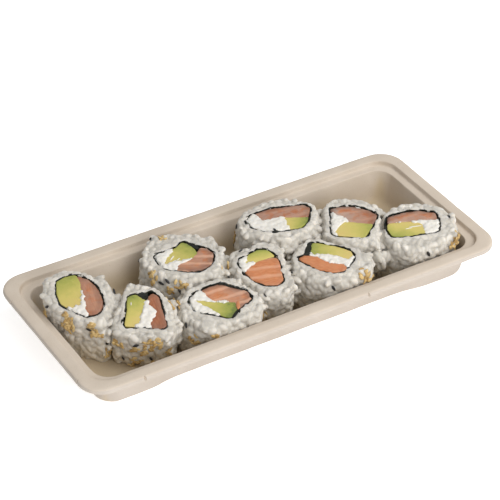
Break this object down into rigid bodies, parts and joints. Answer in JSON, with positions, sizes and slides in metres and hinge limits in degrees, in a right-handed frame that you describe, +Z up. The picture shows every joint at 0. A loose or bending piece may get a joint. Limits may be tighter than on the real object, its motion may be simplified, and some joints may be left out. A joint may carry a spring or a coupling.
{
  "type": "takeaway sushi tray",
  "caption": "Shallow rectangular pressed plant-fibre tray with rolled rim, holding upright inside-out sushi rolls of rice, nori, salmon, avocado and cream cheese.",
  "frame": {"origin": "centre of the bounding box in plan, on the surface that the tray stands on", "axes": "+X along the tray's long side, +Y to its far long side, +Z up"},
  "size_m": [0.22, 0.097, 0.0292],
  "materials": {
    "pulp": "matt pressed fibre",
    "rice": "moist, satin",
    "nori": "matt, slightly wrinkled",
    "avocado": "smooth, satin",
    "salmon": "moist, satin",
    "cream_cheese": "soft, matt"
  },
  "bodies": {
    "root": {"tray": "pulp", "roll_1_rice": "rice", "roll_1_nori": "nori", "roll_1_avocado": "avocado", "roll_1_salmon": "salmon", "roll_1_cheese": "cream_cheese", "roll_2_rice": "rice", "roll_2_nori": "nori", "roll_2_avocado": "avocado", "roll_2_salmon": "salmon", "roll_2_cheese": "cream_cheese", "roll_3_rice": "rice", "roll_3_nori": "nori", "roll_3_avocado": "avocado", "roll_3_salmon": "salmon", "roll_3_cheese": "cream_cheese", "roll_4_rice": "rice", "roll_4_nori": "nori", "roll_4_avocado": "avocado", "roll_4_salmon": "salmon", "roll_4_cheese": "cream_cheese", "roll_5_rice": "rice", "roll_5_nori": "nori", "roll_5_avocado": "avocado", "roll_5_salmon": "salmon", "roll_5_cheese": "cream_cheese", "roll_6_rice": "rice", "roll_6_nori": "nori", "roll_6_avocado": "avocado", "roll_6_salmon": "salmon", "roll_6_cheese": "cream_cheese", "roll_7_rice": "rice", "roll_7_nori": "nori", "roll_7_avocado": "avocado", "roll_7_salmon": "salmon", "roll_7_cheese": "cream_cheese", "roll_8_rice": "rice", "roll_8_nori": "nori", "roll_8_avocado": "avocado", "roll_8_salmon": "salmon", "roll_8_cheese": "cream_cheese", "roll_9_rice": "rice", "roll_9_nori": "nori", "roll_9_avocado": "avocado", "roll_9_salmon": "salmon", "roll_9_cheese": "cream_cheese"}
  },
  "joints": []
}
